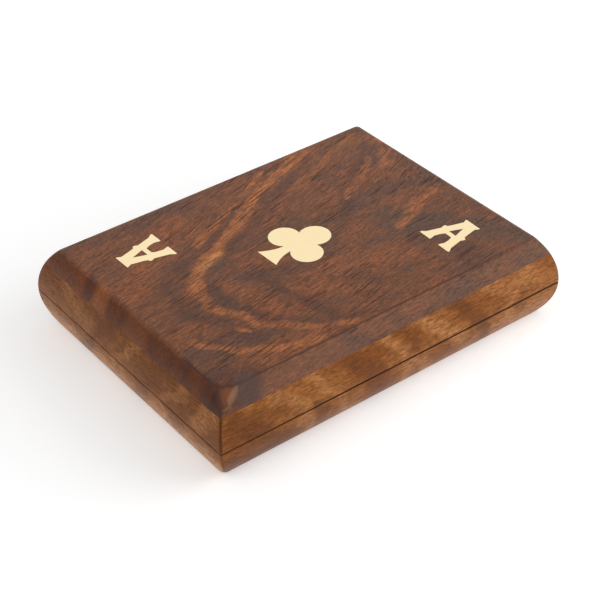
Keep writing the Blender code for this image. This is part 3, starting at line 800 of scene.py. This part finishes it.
def arc(centre, radius, start, end, steps):
    """Points on a circle from one angle to another, both ends included."""
    angles = [start + (end - start) * step / steps for step in range(steps + 1)]
    return [Vector(centre) + radius * Vector((math.cos(angle), math.sin(angle))) for angle in angles]


def rounded_rectangle(half_x, half_y, radii, steps):
    """A rectangle with a radius for each corner, anticlockwise from its right back corner."""
    outline = []
    sides = ((1, 1), (-1, 1), (-1, -1), (1, -1))
    for quarter, ((side_x, side_y), radius) in enumerate(zip(sides, radii)):
        centre = (side_x * (half_x - radius), side_y * (half_y - radius))
        start = math.radians(90) * quarter
        outline += arc(centre, radius, start, start + math.radians(90), steps)
    return outline


def grown(outline, margin):
    """An anticlockwise outline moved out by a margin, with its corners mitred."""
    moved = []
    for here, point in enumerate(outline):
        arriving = (point - outline[here - 1]).normalized()
        leaving = (outline[(here + 1) % len(outline)] - point).normalized()
        outward = [Vector((way.y, -way.x)) for way in (arriving, leaving)]
        moved.append(point + (outward[0] + outward[1]) * margin / (1 + outward[0].dot(outward[1])))
    return moved


def placed(outlines, turn, centre):
    """Flat outlines turned and moved to their place on the top."""
    spin = Matrix.Rotation(math.radians(turn), 2)
    return [[spin @ point + Vector(centre) for point in outline] for outline in outlines]


def blunted(outline, reach):
    """An outline whose tips, sharper than 75 degrees, are cut back, as a fretsaw and a file leave them."""
    filed = []
    for here, point in enumerate(outline):
        before, after = outline[here - 1] - point, outline[(here + 1) % len(outline)] - point
        if math.degrees(before.angle(after)) < 75:
            filed += [point + before.normalized() * reach, point + after.normalized() * reach]
        else:
            filed.append(point)
    return filed


def index_outlines(clearance):
    """The capital letter of a card index, upright about its middle, with its counter."""
    edge, counter = (
        [Vector((x * index_width, (y - 0.5) * index_height)) for x, y in shares]
        for shares in (index_edge_shares, index_counter_shares)
    )
    letter = blunted([Vector((-point.x, point.y)) for point in edge] + edge[::-1], index_tip_reach)
    return [grown(letter, clearance), grown(counter, -clearance)]


def club_outlines(clearance):
    """A club that points along X: three lobes on a stem that flares to its foot."""
    lobe, stem, foot = club_lobe + clearance, club_stem + clearance, club_foot + clearance
    top, side, foot_x = Vector(club_top), Vector(club_side), club_foot_x - clearance
    valley = max(intersect_sphere_sphere_2d(top, lobe, side, lobe), key=lambda point: point.y)
    notch = Vector((side.x - math.sqrt(lobe**2 - (side.y - stem) ** 2), stem))

    def bearing(centre, point):
        return math.atan2(point.y - centre.y, point.x - centre.x)

    upper = arc(top, lobe, 0, bearing(top, valley), 16)
    upper += arc(side, lobe, bearing(side, valley), 2 * math.pi + bearing(side, notch), 32)[1:]
    for step in range(1, 9):
        share = step / 8
        rise = (foot - stem) * share**club_flare
        upper.append(Vector((notch.x + (foot_x - notch.x) * share, stem + rise)))
    return [upper + [Vector((point.x, -point.y)) for point in reversed(upper[1:])]]


def board_levels():
    """Half length, half width, share of the top's corner radius and height, from the glue line up."""
    levels, wall_steps, rim_steps = [], 10, 7
    bottom = glue_height + hairline / 2
    for step in range(wall_steps + 1):
        height = bottom + (box_height - side_rim_round - bottom) * step / wall_steps
        opening = max(0, (height - glue_height) / (box_height - glue_height)) ** 1.5
        levels.append(Vector((*wall_reach(height), opening, height)))
    wall, crest = levels[-1], Vector((*wall_reach(box_height), 1, box_height))
    flat = crest - Vector((end_rim_round, side_rim_round, 0, 0))
    for step in range(1, rim_steps + 1):
        t = step / rim_steps
        levels.append(wall * (1 - t) ** 2 + crest * 2 * t * (1 - t) + flat * t**2)
    return levels


def end_grain(place):
    """How far a point of the board's surface cuts across the fibres, from 0 to 1."""
    reach_x, reach_y = wall_reach(place.z)
    on_end = abs(place.x) - reach_x > abs(place.y) - reach_y
    return min(1, max(0, (box_height - place.z) * 1000)) if on_end else 0


def make_top_board():
    """The crowned heartwood board, its walls running on from the frame, with pockets for the inlays."""
    shape = bmesh.new()
    rings = []
    for half_x, half_y, opening, height in board_levels():
        radii = [mitre_corner_radius + (top - mitre_corner_radius) * opening for top in top_corner_radii]
        outline = rounded_rectangle(half_x, half_y, radii, 10)
        rings.append([shape.verts.new((*point, height)) for point in outline])
    shape.faces.new(rings[0])
    shape.faces.new(rings[-1])
    wall_rings(shape, rings)
    board = piece_of("top_board", shape)

    pockets = []
    for name, outlines, turn, centre in (
        ("index_left", index_outlines, 91, (-0.0469, 0.0298)),
        ("index_right", index_outlines, -92, (0.0483, -0.0307)),
        ("club", club_outlines, 1.9, (0, -0.0004)),
    ):
        low = box_height - inlay_depth
        inlay = prism(f"brass_{name}", placed(outlines(0), turn, centre), low, box_height)
        eased(inlay, inlay_ease, segments=2)
        finished(inlay, "inlay", "lid", "pale_brass", f"inlay_{name}")
        opening = placed(outlines(inlay_clearance), turn, centre)
        pockets.append(prism(f"{name}_pocket", opening, low - hairline, box_height + overrun))
    flatly_lit(cut(board, *pockets))
    store(board, "end_grain", end_grain)
    finished(board, "board", "lid", "dark_wood", "lid_top_board")


def make_floor_and_divider():
    fit = floor_rebate - hairline * 3
    x, y = hollow_x + fit, hollow_y + fit
    panel = block("floor_panel", (-x, -y, 0), (x, y, floor_thickness))
    eased(panel, panel_ease)
    finished(panel, "floor", "base", "floor_wood", "base_floor")
    half, end = divider_thickness / 2, hollow_y + divider_housing - hairline * 2
    top = base_rim - divider_drop
    strip = block("divider_strip", (-half, -end, floor_thickness + hairline), (half, end, top))
    eased(strip, wood_ease, lambda at: 1 if at.z > top - 0.0001 and abs(at.y) < end - 0.0001 else 0.1)
    finished(strip, "divider", "base", "dark_wood", "card_divider")


def make_lining(name, left, right, bottom, body, node, lies_on):
    """A felt sheet cut to its well, with a soft edge and a faint unevenness."""
    edge_y = hollow_y - lining_margin
    low, high = Vector((left, -edge_y, bottom)), Vector((right, edge_y, bottom + lining_thickness))
    size = high - low
    shape = bmesh.new()
    counts = [max(2, round(length / lining_cell)) for length in size[:2]]
    bmesh.ops.create_grid(shape, x_segments=counts[0], y_segments=counts[1], size=0.5)
    for vertex in shape.verts:
        x, y = vertex.co.x + 0.5, vertex.co.y + 0.5
        wave = lining_wave * math.sin(x * 23 + y * 9) * math.sin(y * 17 - x * 5)
        vertex.co = (low.x + size.x * x, low.y + size.y * y, (low.z + high.z) / 2 + wave)
    lining = piece_of(name, shape)
    adjusted(lining.modifiers.new("thickness", "SOLIDIFY"), thickness=size.z - 0.0001, offset=0)
    eased(settled(lining), felt_ease, segments=2)
    finished(lining, "felt", body, "felt", node)


def make_linings():
    near, far = divider_thickness / 2 + lining_margin, hollow_x - lining_margin
    for side, left, right in (("left", -far, -near), ("right", near, far)):
        bottom, node = floor_thickness + lining_lift, f"well_lining_{side}"
        make_lining(f"felt_{side}_well", left, right, bottom, "base", node, "floor_panel")
    bottom = glue_height - lining_lift / 2 - lining_thickness
    make_lining("felt_lid", -far, far, bottom, "lid", "lid_lining", "top_board")


@node_group("GeometryNodeTree", "geometry")
def slotted_screws(
    wires, geometry, head_radius, head_height, shank_radius, length, slot_width, slot_depth, flip, material
):
    """Countersunk slotted screws, one at each point, with their heads up or down."""

    def turned_part(vertices, segments, bottom_radius, top_radius, depth, low):
        made = wires.fill(
            wires.node("GeometryNodeMeshCone"), vertices=vertices, side_segments=segments,
            radius_bottom=bottom_radius, radius_top=top_radius, depth=depth,
        )
        moved = wires.node("GeometryNodeTransform", made.outputs["Mesh"])
        return wires.fill(moved, translation=wires.join(0.0, 0.0, low)).outputs[0]

    head = turned_part(32, 1, shank_radius, head_radius, head_height, head_height * -1.0)
    size = wires.join(slot_width, head_radius * 3.0, slot_depth * 2.0)
    slot = wires.node("GeometryNodeMeshCube", size)
    slotted = wires.node("GeometryNodeMeshBoolean", head, slot.outputs["Mesh"], operation="DIFFERENCE")
    shank = turned_part(24, 8, shank_radius * 0.15, shank_radius, length - head_height, length * -1.0)
    whole = wires.node("GeometryNodeJoinGeometry", shank)
    wires.feed(whole.inputs[0], slotted.outputs[0])
    slot_turn = wires.node("FunctionNodeRandomValue", None, None, -0.9, 0.9, data_type="FLOAT")
    wires.fill(slot_turn, seed=5)
    spread = wires.fill(
        wires.node("GeometryNodeInstanceOnPoints"), points=geometry, instance=whole.outputs[0],
        rotation=wires.join(flip, 0.0, slot_turn.outputs[1]),
    )
    real = wires.node("GeometryNodeRealizeInstances", spread.outputs[0])
    return wires.fill(wires.node("GeometryNodeSetMaterial", real.outputs[0]), material=material).outputs[0]


def make_screws(body, face, flip):
    """The four screws that hold one body's leaves."""
    y = half_width - leaf_width / 2
    points = [(x + step, y, face) for x in hinge_centres for step in (-screw_spread, screw_spread)]
    screws = run_tree(
        f"{body}_hinge_screws", slotted_screws, points,
        head_radius=screw_head_radius, head_height=screw_head_height, shank_radius=screw_shank_radius,
        length=screw_length, slot_width=screw_slot_width, slot_depth=screw_slot_depth,
        flip=flip, material=MATERIALS["hinge"],
    )
    smooth_by_angle(screws)
    nodes = [f"hinge_{side}_{body}_screw_{number}" for side in ("left", "right") for number in (1, 2)]
    finished(screws, "hinge", body, "hinge_brass", *nodes)


def make_knuckle(name, start, end, way):
    """One rolled knuckle: a strip that leaves the plate and wraps round the pin, one way or the other."""
    first = math.pi + way * math.asin((leaf_thickness + parting_gap / 2) / barrel_radius)
    last, steps = first + way * knuckle_wrap, 36
    profile = arc((0, 0), barrel_radius, first, last, steps)
    profile += arc((0, 0), pin_radius + bore_clearance, last, first, steps)
    shape = bmesh.new()
    rings = [
        [shape.verts.new((x, hinge_axis_y + point.x, base_height + point.y)) for point in profile]
        for x in (start, end)
    ]
    wall_rings(shape, rings)
    for ring in rings:
        for step in range(steps):
            shape.faces.new((ring[step], ring[step + 1], ring[-2 - step], ring[-1 - step]))
    return eased(piece_of(name, shape), knuckle_ease, segments=2)


def make_leaf(side, body, centre_x, low, knuckles):
    """A hinge leaf: a plate let into the rail, with rolled knuckles round the pin, in one mesh."""
    name, half, high = f"{side}_{body}_leaf", hinge_length / 2, low + leaf_thickness
    plate = block(
        f"{name}_plate", (centre_x - half, half_width - leaf_width, low),
        (centre_x + half, half_width + leaf_overlap, high),
    )
    wide = screw_head_radius + countersink_clearance
    narrow = (screw_shank_radius + countersink_clearance) * countersink_taper
    if body == "base":
        radii, middle, way = (narrow, wide), high - countersink_middle, 1
    else:
        radii, middle, way = (wide, narrow), low + countersink_middle, -1
    holes = []
    for step in (-screw_spread, screw_spread):
        place = Matrix.Translation((centre_x + step, half_width - leaf_width / 2, middle))
        holes.append(cone("countersink", radii, countersink_depth, 40, place))
    parts = [eased(cut(plate, *holes), leaf_ease, segments=2)]
    for start, end in knuckles:
        start, end = centre_x + start + knuckle_gap / 2, centre_x + end - knuckle_gap / 2
        parts.append(make_knuckle(f"{name}_knuckle", start, end, way))
    shape = bmesh.new()
    for part in parts:
        shape.from_mesh(part.data)
        bpy.data.objects.remove(part)
    leaf = piece_of(name, shape)
    smooth_by_angle(leaf)
    finished(leaf, "hinge", body, "hinge_brass", f"hinge_{name}")


def make_hinges():
    make_screws("base", base_rim, 0.0)
    make_screws("lid", lid_rim, math.pi)
    half, middle = hinge_length / 2, middle_knuckle_half
    for side, centre_x in zip(("left", "right"), hinge_centres):
        make_leaf(side, "base", centre_x, base_rim - leaf_thickness, [(-half, -middle), (middle, half)])
        make_leaf(side, "lid", centre_x, lid_rim, [(-middle, middle)])
        lying = Matrix.Rotation(math.radians(90), 4, "Y")
        place = Matrix.Translation((centre_x, hinge_axis_y, base_height)) @ lying
        pin = cone(f"{side}_pin", (pin_radius, pin_radius), hinge_length, 32, place)
        eased(pin, pin_ease)
        finished(pin, "hinge", "base", "hinge_brass", f"hinge_{side}_pin")


# The studio: the camera's place and axes were found from the photograph's outlines
floor_half_size, floor_drop = 3, 0.00005
camera_lens, camera_place = 96.27, (-0.28519, -0.38296, 0.36344)
camera_right = Vector((0.7932354, -0.6086624, -0.0175422))
camera_down = Vector((-0.3751936, -0.4658725, -0.8013692))
camera_forward = Vector((0.4795909, 0.6422562, -0.5979127))


def ray_kinds(wires):
    """Rays that see things straight or through clear pieces, and rays that see them in a gloss."""
    rays = wires.node("LightPath").outputs
    return wires.math("MAXIMUM", rays["Is Camera Ray"], rays["Is Transmission Ray"]), rays["Is Glossy Ray"]


def make_floor():
    """A white floor that glows for seeing rays alone, less so near the box, so its shadow stays."""
    shape = bmesh.new()
    bmesh.ops.create_grid(shape, x_segments=1, y_segments=1, size=floor_half_size)
    bmesh.ops.translate(shape, vec=(0, 0, -floor_drop), verts=shape.verts)
    floor = piece_of("studio_floor", shape)
    material = adjusted(bpy.data.materials.new("studio_floor_white"), use_nodes=True)
    wires = Wiring(material.node_tree)
    straight, glossy = ray_kinds(wires)
    place = wires.node("TexCoord").outputs["Object"]
    near_and_far = wires.span(wires.vector("DISTANCE", place, (0, 0, 0)), 0.14, 0.45, 0.34, 0.62)
    glow = wires.math("MAXIMUM", straight, glossy) * near_and_far
    emission = {"emission_color": (1, 1, 1, 1), "emission_strength": glow}
    wires.shade((0.90, 0.90, 0.90, 1), 0.9, specular_ior_level=0.1, **emission)
    floor.data.materials.append(material)
    floor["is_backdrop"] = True


def make_surroundings():
    """A white backdrop and an even fill, with a dark flag low on the left that only gloss shows."""
    world = adjusted(bpy.data.worlds.new("studio_world"), use_nodes=True)
    bpy.context.scene.world = world
    world.node_tree.nodes.clear()
    wires = Wiring(world.node_tree)
    straight, glossy = ray_kinds(wires)
    x, y, z = wires.split(wires.node("TexCoord").outputs["Generated"])
    flag = wires.span(x, -0.55, -0.25, 1.0, 0.0) * wires.span(y, 0.25, 0.55)
    flag *= wires.span(z, 0.24, 0.46, 1.0, 0.0)
    flagged = wires.span(y, -0.75, -0.2, 1.2, 1.0) * wires.span(flag, 0.0, 1.0, 1.0, 0.03)
    fill, sheen, backdrop = (
        wires.node("Background", (1, 1, 1, 1), strength).outputs[0]
        for strength in (0.50, flagged, 1.0)
    )
    lit = wires.node("MixShader", glossy, fill, sheen)
    seen = wires.node("MixShader", straight, lit.outputs[0], backdrop)
    wires.node("OutputWorld", seen.outputs[0])


def make_studio():
    """A plain pale floor, soft lamps and the camera where the photograph was taken from."""
    make_floor()
    make_surroundings()
    for name, power, size, place in (
        ("key_softbox", 2.6, 0.6, (0.44, -0.36, 0.30)),
        ("left_fill", 5.0, 1.0, (-1.3, 0.1, 1.1)),
    ):
        lamp = adjusted(bpy.data.lights.new(name, "AREA"), energy=power, size=size)
        stand = adjusted(add_object(name, lamp), location=place, visible_glossy=False)
        turn = (-Vector(place)).to_track_quat("-Z", "Y")
        adjusted(stand, rotation_mode="QUATERNION", rotation_quaternion=turn)

    camera = bpy.data.cameras.new("photo_camera")
    adjusted(camera, lens=camera_lens, sensor_width=36, clip_start=0.01, clip_end=20)
    eye = add_object("photo_camera", camera)
    turn = Matrix((camera_right, -camera_down, -camera_forward)).transposed().to_4x4()
    eye.matrix_world = Matrix.Translation(camera_place) @ turn
    bpy.context.scene.camera = eye
    bpy.context.scene.view_settings.view_transform = "Standard"


make_studio()
make_rails("base", 0.0, base_rim, bottom_insets)
make_rails("lid", lid_rim, glue_height - hairline / 2, top_insets)
make_top_board()
make_floor_and_divider()
make_linings()
make_hinges()

seen_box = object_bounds()
